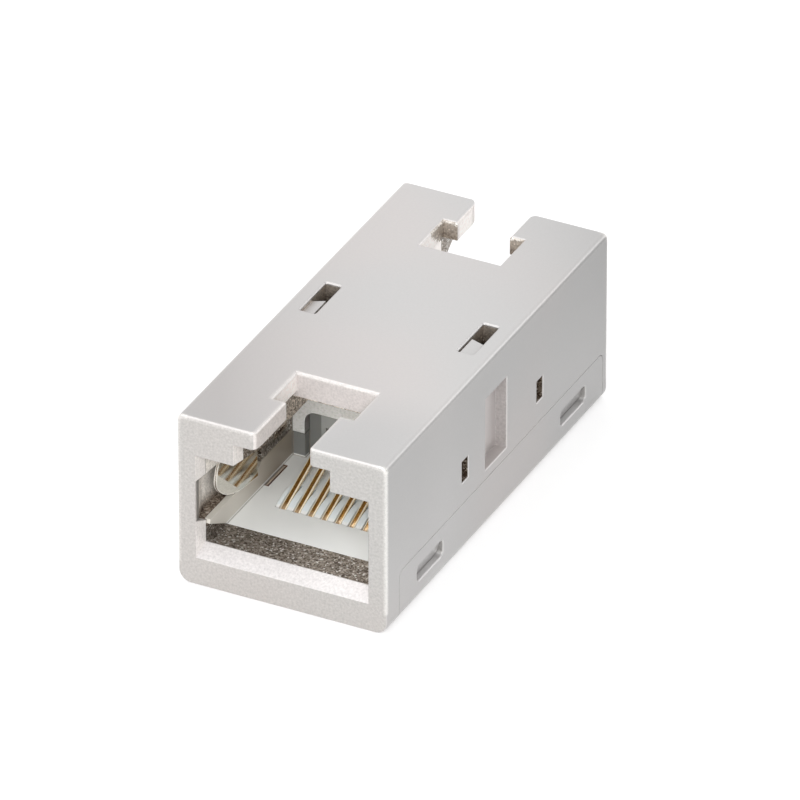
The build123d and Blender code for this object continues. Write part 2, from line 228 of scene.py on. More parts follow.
def shader_group(name: str, inputs: dict[str, Any], outputs: dict[str, str]) -> tuple[Graph, Any, Any]:
    """Start a shader node group.

    Args:
        name: The group's name.
        inputs: Its inputs with their default values, numbers or vectors.
        outputs: Its outputs with their socket types.

    Returns:
        The graph to draw in, the node with the group's inputs and the node for its outputs.
    """
    tree = bpy.data.node_groups.new(name, "ShaderNodeTree")
    for label, value in inputs.items():
        kind = "NodeSocketVector" if isinstance(value, tuple) else "NodeSocketFloat"
        tree.interface.new_socket(label, in_out="INPUT", socket_type=kind).default_value = value
    for label, kind in outputs.items():
        tree.interface.new_socket(label, in_out="OUTPUT", socket_type=f"NodeSocket{kind}")
    graph = Graph(tree)
    return graph, graph.node("NodeGroupInput"), graph.node("NodeGroupOutput")


def soft_edge_group() -> bpy.types.NodeTree:
    """Rounded edges: the normal turns over each edge.

    Returns:
        The node group.
    """
    graph, start, end = shader_group("soft_edge", {"Radius": 0.1 * MM}, {"Normal": "Vector"})
    bevel = graph.node("ShaderNodeBevel", {"Radius": start.outputs["Radius"]}, samples=6)
    graph.feed(end.inputs["Normal"], bevel.outputs[0])
    return graph.tree


def closed_in_group(name: str, reach: float, clear: float, full: float,
                    inside: bool = False) -> bpy.types.NodeTree:
    """A mask from how closed in a place is: creases seen from the air, outer edges from inside the metal.

    Args:
        name: The group's name.
        reach: How far it looks.
        clear: The openness from which the mask is 0.
        full: The openness at which it is 1.
        inside: Look into the solid instead of out of it.

    Returns:
        The node group.
    """
    graph, start, end = shader_group(name, {"Reach": reach, "Clear": clear, "Full": full}, {"Mask": "Float"})
    room = graph.node("ShaderNodeAmbientOcclusion", {"Distance": start.outputs["Reach"]}, samples=8,
                      inside=inside, only_local=True)
    span = graph.math("SUBTRACT", start.outputs["Clear"], start.outputs["Full"])
    missing = graph.math("SUBTRACT", start.outputs["Clear"], room.outputs["AO"])
    graph.feed(end.inputs["Mask"], graph.math("DIVIDE", missing, span, clamp=True))
    return graph.tree


def port_place_group() -> bpy.types.NodeTree:
    """A point's place as seen from the nearer port: how far across, how far in and how high.

    Depth counts from the catch in Place and from the end face in Mouth.

    Returns:
        The node group.
    """
    graph, start, end = shader_group("port_place", {"Vector": ORIGIN, "Core Middle": 0.0, "Catch": 0.0,
                                                    "Half Length": 0.0},
                                     {"Place": "Vector", "Mouth": "Vector"})
    place = graph.parts(start.outputs["Vector"])
    from_core = graph.math("ABSOLUTE", graph.math("SUBTRACT", place["Y"], start.outputs["Core Middle"]))
    depth = graph.math("SUBTRACT", start.outputs["Catch"], from_core)
    across = graph.math("ABSOLUTE", place["X"])
    joined = graph.node("ShaderNodeCombineXYZ", {0: across, 1: depth, 2: place["Z"]})
    from_face = graph.math("SUBTRACT", start.outputs["Half Length"], graph.math("ABSOLUTE", place["Y"]))
    mouth = graph.node("ShaderNodeCombineXYZ", {0: across, 1: from_face, 2: place["Z"]})
    graph.feed(end.inputs["Place"], joined.outputs[0])
    graph.feed(end.inputs["Mouth"], mouth.outputs[0])
    return graph.tree


def zone_group() -> bpy.types.NodeTree:
    """Whether a place lies in a box, from 0 outside to 1 inside, with a soft border.

    Returns:
        The node group.
    """
    graph, start, end = shader_group("zone", {"Vector": ORIGIN, "Low": ORIGIN, "High": ORIGIN,
                                              "Softness": 0.05 * MM}, {"Inside": "Float"})
    place, size = start.outputs["Vector"], start.outputs
    above = graph.node("ShaderNodeVectorMath", {0: place, 1: size["Low"]}, operation="SUBTRACT")
    below = graph.node("ShaderNodeVectorMath", {0: size["High"], 1: place}, operation="SUBTRACT")
    nearer = graph.node("ShaderNodeVectorMath", {0: above.outputs[0], 1: below.outputs[0]},
                        operation="MINIMUM")
    parts = graph.parts(nearer.outputs[0])
    nearest = graph.math("MINIMUM", graph.math("MINIMUM", parts[0], parts[1]), parts[2])
    graph.feed(end.inputs["Inside"], graph.math("DIVIDE", nearest, size["Softness"], clamp=True))
    return graph.tree


def grain_group() -> bpy.types.NodeTree:
    """Cast grain: a height for the bump, a faint mottling and a random value for each speck, which the
    materials turn into bright specks as painted glints and into dark specks.

    Returns:
        The node group.
    """
    graph, start, end = shader_group("cast_grain", {"Vector": ORIGIN, "Size": 0.1 * MM},
                                     {"Height": "Float", "Sparkle": "Float"})
    scale = graph.math("DIVIDE", 1.0, start.outputs["Size"])
    fine = graph.node("ShaderNodeTexNoise", {"Vector": start.outputs["Vector"], "Scale": scale,
                                             "Detail": 3.0, "Roughness": 0.6})
    cells = graph.node("ShaderNodeTexVoronoi", {"Vector": start.outputs["Vector"], "Scale": scale})
    chance = graph.node("ShaderNodeSeparateColor", {0: cells.outputs["Color"]}).outputs[0]
    graph.feed(end.inputs["Height"], fine.outputs[0])
    graph.feed(end.inputs["Sparkle"], chance)
    return graph.tree


class ShaderGroups:
    """The node groups that several finishes share, each built once."""

    def __init__(self) -> None:
        """Build them all."""
        self.soft_edge = soft_edge_group()
        self.rim = closed_in_group("rim", 0.25 * MM, 0.97, 0.78, inside=True)
        self.crease = closed_in_group("crease", 0.12 * MM, 0.9, 0.55)
        self.grain = grain_group()
        self.port_place = port_place_group()
        self.zone = zone_group()


def new_material(name: str) -> tuple[bpy.types.Material, Graph, Socket]:
    """Start a node material.

    Args:
        name: The material's name.

    Returns:
        The material, its graph and the socket with Object coordinates.
    """
    material = bpy.data.materials.new(name)
    material.use_nodes = True
    graph = Graph(material.node_tree)
    return material, graph, graph.node("ShaderNodeTexCoord").outputs["Object"]


def finish_surface(graph: Graph, sockets: dict[str, Any]) -> None:
    """Add the Principled shader and the material's output.

    Args:
        graph: The material's graph.
        sockets: The shader's input values.
    """
    shader = graph.node("ShaderNodeBsdfPrincipled", sockets)
    graph.node("ShaderNodeOutputMaterial", {"Surface": shader.outputs[0]})


@dataclass(frozen=True)
class Zone:
    """A box in a port's own place: across, in from the catch and up, mirrored to both sides and ports.

    All its values are in millimetres.
    """

    across: Span
    depth: Span
    height: Span
    softness: float = 0.05

    def mask(self, graph: Graph, groups: ShaderGroups, place: Socket) -> Socket:
        """Tell whether a place lies in the zone.

        Args:
            graph: The material's graph.
            groups: The shared node groups.
            place: The place, in the zone's own coordinates.

        Returns:
            The socket with 1 inside, 0 outside and a soft border.
        """
        low, high = (tuple(side[end] * MM for side in (self.across, self.depth, self.height))
                     for end in (0, 1))
        sockets = {"Vector": place, "Low": low, "High": high, "Softness": self.softness * MM}
        return graph.group(groups.zone, sockets).outputs[0]


def port_places(graph: Graph, groups: ShaderGroups, place: Socket) -> tuple[Socket, Socket]:
    """The place seen from the nearer port, with the ports taken from the carriers' boxes.

    Args:
        graph: The material's graph.
        groups: The shared node groups.
        place: The Object coordinates.

    Returns:
        The place with its depth from the catch, and with its depth from the end face.
    """
    front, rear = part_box("front_contact_carrier"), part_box("rear_contact_carrier")
    sizes = {"Vector": place, "Core Middle": (front[1][1] + rear[0][1]) / 2, "Catch": CORE_TO_CATCH,
             "Half Length": cad_box[1][1]}
    node = graph.group(groups.port_place, sizes)
    return node.outputs["Place"], node.outputs["Mouth"]


def face_turn(graph: Graph, axis: str, low: float = 0.6, high: float = 0.9) -> Socket:
    """How much a face turns along an axis, either way.

    Args:
        graph: The material's graph.
        axis: The axis, X, Y or Z.
        low: Up to this share of the normal, the result is 0.
        high: From this share on, it is 1.

    Returns:
        The socket with the result.
    """
    part = graph.parts(graph.node("ShaderNodeNewGeometry").outputs["True Normal"])[axis]
    return graph.ramp(graph.math("ABSOLUTE", part), low, high)


@dataclass(frozen=True)
class CastNickel:
    """Satin nickel over a die casting: pale outside under painted shading; inside, brown grain darkened as
    painted shade, white specks and edge lines as painted glints and highlights, and lit copies of the plating
    on some walls.
    """

    name: str = "cast_nickel"
    warm: Colour = (0.715, 0.685, 0.675)
    cool: Colour = (0.69, 0.68, 0.675)
    # Painted highlight on the top rims at the front and on the long top edges
    rim: Colour = (0.77, 0.74, 0.72)
    lit_wall: Colour = (1.0, 0.955, 0.925)
    dim_wall: Colour = (0.59, 0.55, 0.535)
    # Lighter copies of the plating on the slot walls, lip walls and sill, as painted light
    tongue_wall: Colour = (0.76, 0.715, 0.69)
    lip_wall: Colour = (0.86, 0.825, 0.80)
    sill: Colour = (0.72, 0.695, 0.69)
    # Brown and tan grain of the inner walls, dark as painted shade
    brown: Colour = (0.10, 0.075, 0.055)
    tan: Colour = (0.66, 0.59, 0.52)
    # Near black with brown specks: painted shade deep inside
    soot: Colour = (0.07, 0.042, 0.026)
    rust: Colour = (0.34, 0.28, 0.22)
    # Ash, with pewter: the pocket wall's grey, brightened as painted light
    ash: Colour = (1.0, 0.95, 0.89)
    hollow: Colour = (0.56, 0.53, 0.52)
    # Silver and frost: a lit, speckled copy of the plating on the stop face, as painted light
    silver: Colour = (1.0, 1.0, 0.98)
    pewter: Colour = (0.70, 0.67, 0.62)
    frost: Colour = (0.93, 0.95, 0.93)
    end_tint: Colour = (1.0, 0.99, 0.965)
    # White of the painted glints on grain and edges and of the painted highlights on the end rims
    sparkle: Colour = (1.0, 0.98, 0.94)
    # The tone outside: a random tint, and painted shading on the top, ends and sides with a slow painted
    # falloff of light
    tint_size: float = 14.0 * MM
    tint_span: Span = (0.35, 0.65)
    top_tone: float = 0.94
    front_tone: float = 0.69
    flank_low: float = 0.75
    flank_high: float = 0.60
    flank_top: float = 13.0 * MM
    flank_along: Span = (-16.0 * MM, -2.0 * MM)
    flank_fade: Span = (1.05, 0.92)
    near_tone: float = 0.93
    near_along: Span = (-7.0 * MM, -13.0 * MM)
    near_across: Span = (0.0, 5.0 * MM)
    core_turn: Span = (-0.9, -0.6)
    drift: float = 0.22
    drift_turn: float = 0.55
    drift_middle: float = 2.5 * MM
    drift_reach: float = 16.0 * MM
    # Cast grain, mottling and specks; the bright specks are painted glints
    grain_size: float = 0.07 * MM
    grain_strength: float = 0.5
    grain_depth: float = 0.02 * MM
    smooth_grain: float = 0.3
    mottle_size: float = 0.17 * MM
    mottle: Span = (0.07, 0.65)
    speck_size: float = 0.11 * MM
    bright_specks: Span = (0.9, 0.96)
    dark_specks: Span = (0.1, 0.9)
    worn_specks: Span = (0.93, 0.98)
    ragged_specks: Span = (0.35, 0.5)
    # Where and how much the inner walls change, painted light and shade among it
    wear_height: Span = (11.0 * MM, 12.8 * MM)
    wear: float = 0.55
    ash_height: Span = (4.3 * MM, 5.8 * MM)
    wall_across: Span = (-6.6 * MM, 1.0 * MM)
    wall_shade: Span = (0.6, 1.05)
    wall_top_lift: float = 1.7
    cut_height: float = 11.2 * MM
    cut_slant: float = 0.8
    cut_rag: float = 0.3 * MM
    cut_border: float = 0.05 * MM
    rear_from: float = 0.5 * MM
    long_rim_share: float = 0.6
    edge_radius: float = 0.07 * MM
    roughness: float = 0.42
    metallic: float = 0.65
    light_metallic: float = 0.15
    # The walls, each in the port's place or in the mouth's
    inside: Zone = Zone((-1.0, 7.3), (-3.4, 8.75), (2.0, 11.5))
    pocket: Zone = Zone((5.9, 7.3), (-3.4, 4.0), (3.9, 9.75))
    # Window walls under a painted shadow with a slanted ragged edge, at the rear port
    burnt: Zone = Zone((-1.0, 3.2), (-0.1, 1.9), (11.2, 12.9), 0.02)
    mouth: Zone = Zone((-1.0, 6.5), (-0.1, 1.2), (1.8, 12.0), 0.02)
    throat: Zone = Zone((-1.0, 7.3), (1.2, 16.0), (2.0, 12.0), 0.02)
    window: Zone = Zone((-1.0, 3.2), (-0.1, 3.65), (11.1, 12.9), 0.02)
    slot: Zone = Zone((-1.0, 3.2), (-4.5, -0.1), (11.3, 12.9), 0.02)
    slot_sides: Zone = Zone((-1.0, 3.2), (-2.4, -0.1), (11.3, 12.9), 0.3)
    far_wall: Zone = Zone((-1.0, 3.3), (-0.1, 8.75), (8.8, 11.5))
    lit_wall_top: Zone = Zone((-1.0, 7.3), (1.5, 9.0), (7.6, 11.5), 0.8)
    stop_face: Zone = Zone((-1.0, 6.0), (8.7, 9.9), (2.0, 11.2))
    # Painted shade deep in the core and in the vents
    core: Zone = Zone((-1.0, 6.6), (9.75, 13.0), (2.0, 12.8))
    vents: Zone = Zone((5.5, 7.64), (6.0, 8.0), (5.4, 7.4))
    recess: Zone = Zone((6.7, 7.66), (9.8, 12.8), (4.5, 10.3), 0.02)
    # Where the painted highlights and glints lie on rims and edges
    top_rims: Zone = Zone((-1.0, 7.2), (-9.0, 8.0), (12.3, 13.1))
    long_rims: Zone = Zone((7.0, 8.0), (-9.0, 20.0), (12.3, 13.1))
    top_edges: Zone = Zone((-1.0, 7.2), (-9.0, 20.0), (12.6, 13.1), 0.1)
    end_rims: Zone = Zone((6.9, 8.0), (-0.1, 0.5), (1.5, 13.1), 0.2)

    def facing_core(self, graph: Graph, place: Socket) -> Socket:
        """How much a wall looks along the coupler towards its middle.

        Args:
            graph: The material's graph.
            place: The Object coordinates.

        Returns:
            The socket with 1 on such walls and 0 elsewhere.
        """
        normal = graph.parts(graph.node("ShaderNodeNewGeometry").outputs["True Normal"])["Y"]
        side = graph.math("SIGN", graph.parts(place)["Y"])
        return graph.ramp(graph.both(normal, side), *self.core_turn, 1.0, 0.0)

    def tone_drift(self, graph: Graph, place: Socket) -> Socket:
        """Painted shading on the plating outside: a falloff of light, fullest on a line across the middle, a
        darker patch at the front right, and the sides, top and ends lighter or darker as light falls.

        Args:
            graph: The material's graph.
            place: The Object coordinates.

        Returns:
            The socket with a factor for the colour.
        """
        parts = graph.parts(place)
        along = graph.math("MULTIPLY_ADD", parts["Y"], self.drift_turn, parts["X"])
        off = graph.math("DIVIDE", graph.math("SUBTRACT", along, self.drift_middle), self.drift_reach)
        drift = graph.both(off, off, -self.drift)
        factor = graph.math("ADD", graph.math("MAXIMUM", drift, -self.drift), 1.0)
        # A painted darker patch at the front right
        near = graph.both(graph.ramp(parts["Y"], *self.near_along), graph.ramp(parts["X"], *self.near_across))
        factor = graph.both(factor, graph.lerp(near, 1.0, self.near_tone))
        # Painted shading on the sides: darker higher up and further back
        height = graph.ramp(parts["Z"], 0.0, self.flank_top, self.flank_low, self.flank_high)
        flank = graph.both(height, graph.ramp(parts["Y"], *self.flank_along, *self.flank_fade))
        # Painted shading by facing: the sides as above, the top a little darker, the ends flat and darker
        for axis, tone in (("X", flank), ("Z", self.top_tone)):
            factor = graph.both(factor, graph.lerp(face_turn(graph, axis), 1.0, tone))
        return graph.lerp(face_turn(graph, "Y"), factor, self.front_tone)

    def outside(self, graph: Graph, place: Socket) -> Socket:
        """The plating outside, a little warmer here and cooler there, under the painted shading.

        Args:
            graph: The material's graph.
            place: The Object coordinates.

        Returns:
            The socket with the colour.
        """
        tint = graph.ramp(graph.noise(place, self.tint_size, 0.0), *self.tint_span)
        colour = graph.blend(tint, self.warm, self.cool)
        colour = graph.blend(face_turn(graph, "Y"), colour, self.end_tint, "MULTIPLY")
        return graph.blend(1.0, colour, graph.grey(self.tone_drift(graph, place)), "MULTIPLY")

    def ragged_zone(self, graph: Graph, zone: Socket, port: Socket, speck: Socket) -> Socket:
        """Cut a zone off along a slant, lower further in, with a ragged line: the edge of a painted shadow.

        Args:
            graph: The material's graph.
            zone: The zone's mask.
            port: The place seen from the port.
            speck: A random number for each speck.

        Returns:
            The socket with the cut mask.
        """
        parts = graph.parts(port)
        height = graph.math("SUBTRACT", parts["Z"], self.cut_height)
        over = graph.math("SUBTRACT", height, graph.both(parts["Y"], self.cut_slant))
        over = graph.math("MULTIPLY_ADD", speck, self.cut_rag, over)
        return graph.both(zone, graph.ramp(over, -self.cut_border, self.cut_border))

    def inner_layers(self, graph: Graph, groups: ShaderGroups,
                     place: Socket) -> tuple[list[tuple[Any, Any]], Any, Any]:
        """The finish of every inner wall, as masks with their colours.

        Args:
            graph: The material's graph.
            groups: The shared node groups.
            place: The Object coordinates.

        Returns:
            The layers from the lowest up, the mask of the inner walls in painted shade and that of the light
            ones.
        """
        port, mouth = port_places(graph, groups, place)
        parts = graph.parts(place)
        across, along, level = (face_turn(graph, axis) for axis in "XYZ")
        rear = graph.ramp(parts["Y"], 0.0, self.rear_from)
        front = graph.math("SUBTRACT", 1.0, rear)
        specks = graph.group(groups.grain, {"Vector": place, "Size": self.speck_size})
        speck = specks.outputs["Sparkle"]
        rim = graph.group(groups.rim, {}).outputs["Mask"]
        zone = {name: getattr(self, name).mask(graph, groups, port) for name in
                ("inside", "pocket", "burnt", "window", "slot", "slot_sides", "far_wall", "lit_wall_top",
                 "stop_face", "core", "vents", "recess", "top_rims", "long_rims", "top_edges")}
        lip = graph.math("SUBTRACT", self.mouth.mask(graph, groups, mouth), along, clamp=True)
        inside = graph.both(zone["inside"], self.throat.mask(graph, groups, mouth))
        # Bright specks as painted glints, none on the lit wall tops
        bright = graph.math("SUBTRACT", graph.ramp(speck, *self.bright_specks), zone["lit_wall_top"],
                            clamp=True)
        # Inner walls: brown and tan grain, darkened as painted shade, with bright specks as painted glints
        inner_shade = graph.blend(bright, graph.blend(speck, self.brown, self.tan), self.sparkle)
        shade = graph.ramp(parts["X"], *self.wall_across, *self.wall_shade)
        shade = graph.both(shade, graph.lerp(zone["lit_wall_top"], 1.0, self.wall_top_lift))
        inner_shade = graph.blend(1.0, inner_shade, graph.grey(shade), "MULTIPLY")
        # Painted shade: near black with brown specks, lifting to tan higher up and in tan cells
        dark = graph.blend(graph.ramp(speck, *self.dark_specks), self.soot, self.rust)
        shade_lift = graph.both(graph.ramp(parts["Z"], *self.wear_height), self.wear)
        dark = graph.blend(graph.either(shade_lift, graph.ramp(speck, *self.worn_specks)), dark, self.tan)
        grey = graph.blend(speck, self.pewter, self.ash)
        # Pocket wall: painted shade below, a brightened grey above as painted light
        pocket_shading = graph.blend(graph.ramp(parts["Z"], *self.ash_height), dark, grey)
        # A lit, speckled copy of the plating for the stop face, as painted light
        speckled = graph.blend(speck, self.frost, self.silver)
        # Painted shade on window and slot walls facing the middle, on the core's walls and under the rear
        # window's painted shadow
        painted_shade = graph.both(graph.either(zone["window"], zone["slot"]), self.facing_core(graph, place))
        painted_shade = graph.either(painted_shade, graph.math("SUBTRACT", zone["core"], level, clamp=True),
                             graph.both(self.ragged_zone(graph, zone["burnt"], port, speck), rear))
        silver = graph.both(zone["stop_face"], along)
        # Painted highlights on the top rims, at the front only, and on the long top edges
        painted_rim_highlight = graph.either(graph.both(zone["top_rims"], front),
                              graph.both(zone["long_rims"], self.long_rim_share))
        # Painted highlights on the end rims, and painted glints on the top edges of walls in painted shade
        painted_end_highlight = graph.both(rim, self.end_rims.mask(graph, groups, mouth))
        ragged = graph.both(painted_shade, rim, zone["top_edges"], graph.ramp(speck, *self.ragged_specks))
        layers = [(zone["recess"], self.hollow), (inside, inner_shade),
                  (graph.both(zone["pocket"], inside), pocket_shading),
                  # Lit copies of the plating on the lip walls, the sill, the slot walls and the stop face, as
                  # painted light
                  (graph.both(lip, across), self.lip_wall), (graph.both(lip, level), self.sill),
                  (graph.both(zone["window"], across), self.lit_wall),
                  (graph.both(zone["window"], along), self.dim_wall),
                  (zone["slot"], self.tongue_wall),
                  (graph.both(zone["slot_sides"], rear, across), self.lit_wall),
                  (graph.both(zone["far_wall"], rear, across), self.lit_wall), (silver, speckled),
                  # Painted shade, in the vents too, then the painted rim highlights
                  (graph.either(painted_shade, zone["vents"]), dark), (graph.both(rim, painted_rim_highlight), self.rim),
                  # Painted glints and highlights, in white
                  (graph.either(ragged, painted_end_highlight), self.sparkle)]
        light = graph.either(silver, lip, zone["window"], zone["slot"], zone["pocket"])
        return layers, graph.either(inside, painted_shade), light

    def material(self, groups: ShaderGroups) -> bpy.types.Material:
        """Build the material.

        Args:
            groups: The shared node groups.

        Returns:
            The material.
        """
        material, graph, place = new_material(self.name)
        edge = graph.group(groups.soft_edge, {"Radius": self.edge_radius})
        grain = graph.group(groups.grain, {"Vector": place, "Size": self.grain_size})
        layers, inner_shade, light = self.inner_layers(graph, groups, place)
        colour = self.outside(graph, place)
        for mask, tone in layers:
            colour = graph.blend(mask, colour, tone)
        mottle = graph.group(groups.grain, {"Vector": place, "Size": self.mottle_size})
        spread = graph.math("SUBTRACT", mottle.outputs["Height"], 0.5)
        depth = graph.lerp(graph.either(face_turn(graph, "Y"), light), *self.mottle)
        tone = graph.math("MULTIPLY_ADD", spread, depth, 1.0)
        colour = graph.blend(1.0, colour, graph.grey(tone), "MULTIPLY")
        height = graph.both(grain.outputs["Height"], graph.ramp(inner_shade, 0.0, 1.0, self.smooth_grain, 1.0))
        normal = graph.bump(height, self.grain_strength, self.grain_depth, edge.outputs["Normal"])
        metallic = graph.ramp(light, 0.0, 1.0, self.metallic, self.light_metallic)
        finish_surface(graph, {"Base Color": colour, "Metallic": metallic, "Roughness": self.roughness,
                               "Normal": normal})
        return material


@dataclass(frozen=True)
class MouldedPlastic:
    """Light grey moulded plastic with a slight gloss and a faint moulding texture, and painted shade on the
    comb, in the creases and key slot, and further in along the cheeks.
    """

    name: str = "moulded_plastic"
    base: Colour = (0.91, 0.925, 0.91)
    shade: Colour = (0.87, 0.89, 0.875)
    pale: Colour = (0.80, 0.86, 0.875)
    # Beige to taupe: the cheeks, darker further in as painted shade with a painted reflection of the contacts
    beige: Colour = (0.66, 0.63, 0.57)
    taupe: Colour = (0.30, 0.26, 0.21)
    # Grey and slate: the comb's face and ends, darkened as painted shade
    grey: Colour = (0.45, 0.465, 0.455)
    slate: Colour = (0.24, 0.245, 0.235)
    sand: Colour = (0.50, 0.40, 0.32)
    # Outline: painted shade on the key slot's walls
    outline: Colour = (0.16, 0.06, 0.035)
    # Line: painted shade in the creases
    line: Colour = (0.26, 0.22, 0.18)
    flow_size: float = 2.5 * MM
    cheek_depth: float = 7.0 * MM
    line_share: float = 0.8
    grain_size: float = 0.25 * MM
    grain_strength: float = 0.15
    grain_depth: float = 0.01 * MM
    edge_radius: float = 0.05 * MM
    roughness: float = 0.38
    ribs: Zone = Zone((-1.0, 4.1), (2.6, 6.5), (2.83, 4.0))
    cheeks: Zone = Zone((5.7, 6.6), (-4.0, 9.0), (2.9, 5.5), 0.1)
    comb: Zone = Zone((-1.0, 6.0), (9.3, 11.0), (2.0, 6.6))
    comb_ends: Zone = Zone((4.15, 6.0), (8.6, 11.0), (2.9, 6.6))
    key_slot: Zone = Zone((5.6, 5.98), (4.45, 7.4), (1.9, 2.85), 0.02)

    def material(self, groups: ShaderGroups) -> bpy.types.Material:
        """Build the material.

        Args:
            groups: The shared node groups.

        Returns:
            The material.
        """
        material, graph, place = new_material(self.name)
        port, _ = port_places(graph, groups, place)
        depth = graph.parts(port)["Y"]
        level = face_turn(graph, "Z")
        edge = graph.group(groups.soft_edge, {"Radius": self.edge_radius})
        grain = graph.group(groups.grain, {"Vector": place, "Size": self.grain_size})
        colour = graph.blend(graph.noise(place, self.flow_size), self.base, self.shade)
        # Cheeks darker further in: painted shade with a painted reflection of the contacts
        cheek = graph.blend(graph.ramp(depth, 0.0, self.cheek_depth), self.beige, self.taupe)
        # Comb and its ends darkened as painted shade; the key slot's walls darker as painted shade
        tones = ((self.ribs, self.pale), (self.cheeks, cheek), (self.comb, self.grey),
                 (self.comb_ends, self.slate), (self.key_slot, graph.blend(level, self.outline, self.sand)))
        for zone, tone in tones:
            colour = graph.blend(zone.mask(graph, groups, port), colour, tone)
        # Painted shade in the creases
        crease = graph.group(groups.crease, {}).outputs["Mask"]
        colour = graph.blend(graph.both(crease, self.line_share), colour, self.line)
        normal = graph.bump(grain.outputs["Height"], self.grain_strength, self.grain_depth,
                            edge.outputs["Normal"])
        finish_surface(graph, {"Base Color": colour, "Roughness": self.roughness, "Normal": normal})
        return material


@dataclass(frozen=True)
class PlatedMetal:
    """Bright plating on stamped sheet, with faint drawing marks along it and pale edges painted as
    highlights.
    """

    name: str = "bright_plate"
    base: Colour = (0.80, 0.77, 0.71)
    shade: Colour = (0.70, 0.67, 0.61)
    # Pale tone of the painted highlight on the edges
    pale: Colour = (0.97, 0.94, 0.88)
    roughness: float = 0.07
    metallic: float = 1.0
    edge_metallic: float = 0.3
    edge_radius: float = 0.03 * MM
    rim_reach: float = 0.09 * MM
    streak: float = 0.08 * MM
    streak_squeeze: float = 0.08
    streak_span: Span = (0.35, 0.65)
    streak_strength: float = 0.1
    streak_depth: float = 0.004 * MM

    def edge_share(self, graph: Graph, groups: ShaderGroups, place: Socket) -> Socket:
        """How much a place belongs to the pale edge of the sheet, a painted highlight."""
        return graph.group(groups.rim, {"Reach": self.rim_reach}).outputs["Mask"]

    def material(self, groups: ShaderGroups) -> bpy.types.Material:
        """Build the material.

        Args:
            groups: The shared node groups.

        Returns:
            The material.
        """
        material, graph, place = new_material(self.name)
        edge = graph.group(groups.soft_edge, {"Radius": self.edge_radius})
        drawn = graph.node("ShaderNodeMapping", {"Vector": place, "Scale": (1.0, self.streak_squeeze, 1.0)})
        marks = graph.noise(drawn.outputs[0], self.streak)
        normal = graph.bump(marks, self.streak_strength, self.streak_depth, edge.outputs["Normal"])
        # Pale edges: a painted highlight
        share = self.edge_share(graph, groups, place)
        deep = graph.blend(graph.ramp(marks, *self.streak_span), self.base, self.shade)
        finish_surface(graph, {"Base Color": graph.blend(share, deep, self.pale),
                               "Metallic": graph.lerp(share, self.metallic, self.edge_metallic),
                               "Roughness": self.roughness, "Normal": normal})
        return material


@dataclass(frozen=True)
class GoldStrip(PlatedMetal):
    """Gold plating on the contacts: deep along the middle, with pale painted highlights on the edges and at
    the bend.
    """

    name: str = "gold_plate"
    base: Colour = (0.62, 0.34, 0.08)
    shade: Colour = (0.36, 0.17, 0.04)
    # Pale gold of the painted highlights on the edges and at the bend
    pale: Colour = (1.0, 0.90, 0.70)
    roughness: float = 0.2
    metallic: float = 0.75
    edge_metallic: float = 0.1
    pitch: float = 1.016 * MM
    edge_span: Span = (0.12 * MM, 0.14 * MM)
    side_turn: Span = (0.85, 0.97)
    side_share: float = 0.45
    bend_depth: Span = (3.15 * MM, 2.6 * MM)
    bend_share: float = 0.35

    def edge_share(self, graph: Graph, groups: ShaderGroups, place: Socket) -> Socket:
        """How much a place belongs to the painted highlight on an edge or at the bend, the same for each
        contact of the row.

        Args:
            graph: The material's graph.
            groups: The shared node groups.
            place: The Object coordinates.

        Returns:
            The socket with the share of the pale tone.
        """
        across = graph.parts(place)["X"]
        turn = graph.math("FLOORED_MODULO", across, self.pitch)
        off_centre = graph.math("ABSOLUTE", graph.math("SUBTRACT", turn, self.pitch / 2))
        port, _ = port_places(graph, groups, place)
        depth = graph.parts(port)["Y"]
        # A painted glint at the bend
        bend = graph.both(graph.ramp(depth, *self.bend_depth), self.bend_share)
        # Painted highlights along both edges of each contact, fainter on the sides
        edge = graph.ramp(off_centre, *self.edge_span)
        paleness = graph.lerp(face_turn(graph, "X", *self.side_turn), 1.0, self.side_share)
        return graph.either(graph.both(edge, paleness), bend)


@dataclass(frozen=True)
class Laminate:
    """Glass-epoxy board: green resist over a faint weave."""

    name: str = "laminate"
    base: Colour = (0.03, 0.12, 0.06)
    weave: float = 0.5 * MM
    weave_lift: float = 1.25
    edge_radius: float = 0.05 * MM
    roughness: float = 0.35

    def material(self, groups: ShaderGroups) -> bpy.types.Material:
        """Build the material.

        Args:
            groups: The shared node groups.

        Returns:
            The material.
        """
        material, graph, place = new_material(self.name)
        edge = graph.group(groups.soft_edge, {"Radius": self.edge_radius})
        wave = graph.node("ShaderNodeTexChecker", {"Vector": place, "Scale": 1.0 / self.weave})
        pale = tuple(self.weave_lift * part for part in self.base)
        tone = graph.blend(wave.outputs["Fac"], self.base, pale)
        finish_surface(graph, {"Base Color": tone, "Roughness": self.roughness,
                               "Normal": edge.outputs["Normal"]})
        return material


class FinishBook:
    """Every finish of the coupler, built once."""

    def __init__(self) -> None:
        """Build the shared groups and the materials."""
        groups = ShaderGroups()
        self.nickel = CastNickel().material(groups)
        self.plastic = MouldedPlastic().material(groups)
        self.gold = GoldStrip().material(groups)
        self.bright = PlatedMetal().material(groups)
        self.laminate = Laminate().material(groups)


def dress(node: str, material: bpy.types.Material) -> None:
    """Give a CAD node its finish.

    Args:
        node: The node's name.
        material: The finish.
    """
    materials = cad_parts[node].data.materials
    materials.clear()
    materials.append(material)
    log.info("%s wears %s", node, material.name)


@dataclass
class MetalShell:
    """The upper housing and the bottom cover."""

    nodes: tuple[str, ...] = ("upper_housing", "bottom_cover")

    def build(self, finishes: FinishBook) -> None:
        """Dress both castings."""
        for node in self.nodes:
            dress(node, finishes.nickel)


